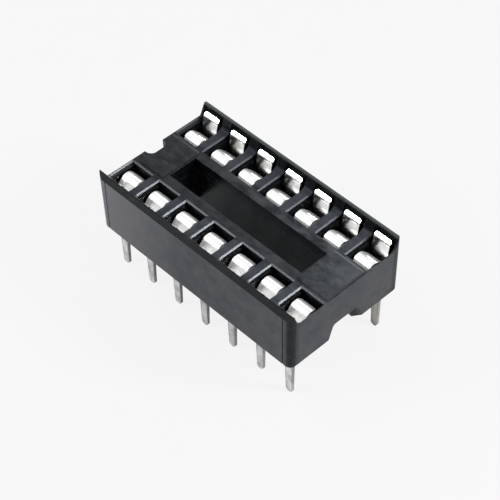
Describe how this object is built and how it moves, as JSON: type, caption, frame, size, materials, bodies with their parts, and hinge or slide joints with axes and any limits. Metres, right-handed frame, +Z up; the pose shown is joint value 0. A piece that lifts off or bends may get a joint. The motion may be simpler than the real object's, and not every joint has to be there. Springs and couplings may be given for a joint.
{
  "type": "integrated circuit socket",
  "caption": "Low open-frame socket for a dual-in-line chip: black moulded ladder frame with raised side walls, two rows of sprung contacts and flat solder tails.",
  "frame": {"origin": "middle of the body in plan, level with the tips of the solder tails", "axes": "+X along the body away from the polarity notch, +Y across the rows, +Z up from the board"},
  "size_m": [0.0174, 0.0094, 0.0083],
  "materials": {
    "housing_plastic": "black glass-filled polyester, satin from the mould",
    "contact_tin": "bright tin plating over a copper alloy strip"
  },
  "bodies": {
    "root": {"housing": "housing_plastic", "contact_01": "contact_tin", "contact_02": "contact_tin", "contact_03": "contact_tin", "contact_04": "contact_tin", "contact_05": "contact_tin", "contact_06": "contact_tin", "contact_07": "contact_tin", "contact_08": "contact_tin", "contact_09": "contact_tin", "contact_10": "contact_tin", "contact_11": "contact_tin", "contact_12": "contact_tin", "contact_13": "contact_tin", "contact_14": "contact_tin"}
  },
  "joints": []
}
